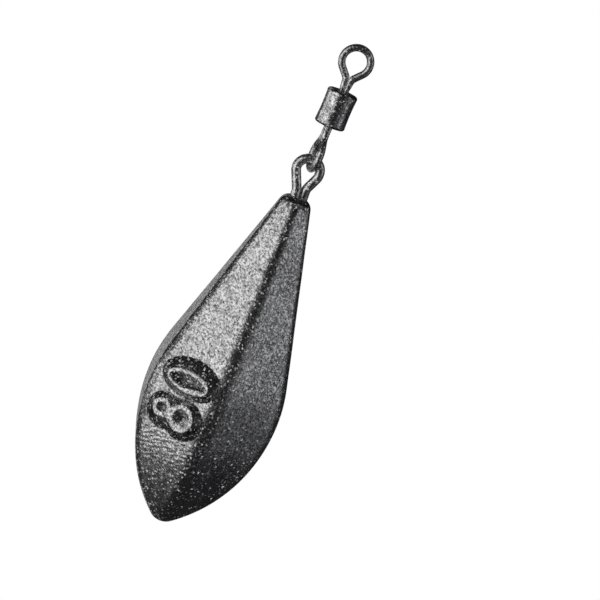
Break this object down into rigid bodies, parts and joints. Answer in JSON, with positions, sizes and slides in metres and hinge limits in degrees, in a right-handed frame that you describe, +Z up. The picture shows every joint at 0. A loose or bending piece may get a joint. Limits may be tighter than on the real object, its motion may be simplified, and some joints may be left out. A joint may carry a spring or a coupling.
{
  "type": "fishing sinker",
  "caption": "Hexagonal pear-shaped fishing sinker with a wire loop cast into its top, linked to a rolling barrel swivel whose upper ring takes the line.",
  "frame": {"origin": "centre of the upper ring's eye, where the line is tied", "axes": "+Z up along the hanging sinker, Y through the upper ring's eye, X across that eye; a corner of the hexagon points along -Y"},
  "size_m": [0.0182, 0.0204, 0.0698],
  "materials": {
    "lead_coat": "dark grey satin coat over cast lead, with a fine grain and bright specks",
    "loop_wire": "dark grey satin coat over round wire",
    "swivel_wire": "dark nickel plate, polished, with fine specks",
    "swivel_barrel": "dark nickel plate, satin"
  },
  "bodies": {
    "upper_ring": {"upper_ring": "swivel_wire"},
    "barrel": {"barrel": "swivel_barrel"},
    "lower_ring": {"lower_ring": "swivel_wire"},
    "lead": {"lead_body": "lead_coat", "lead_loop": "loop_wire"}
  },
  "joints": [
    {"name": "barrel_spin", "type": "hinge", "parent": "upper_ring", "child": "barrel", "pos_m": [0, 0, 0], "axis": [0, 0, 1], "continuous": true},
    {"name": "lower_ring_spin", "type": "hinge", "parent": "barrel", "child": "lower_ring", "pos_m": [0, 0, 0], "axis": [0, 0, 1], "continuous": true},
    {"name": "lead_swing", "type": "hinge", "parent": "lower_ring", "child": "lead", "pos_m": [0, 0, -0.01533], "axis": [-0.1736, 0.9848, 0], "range_deg": [-135, 135]}
  ]
}
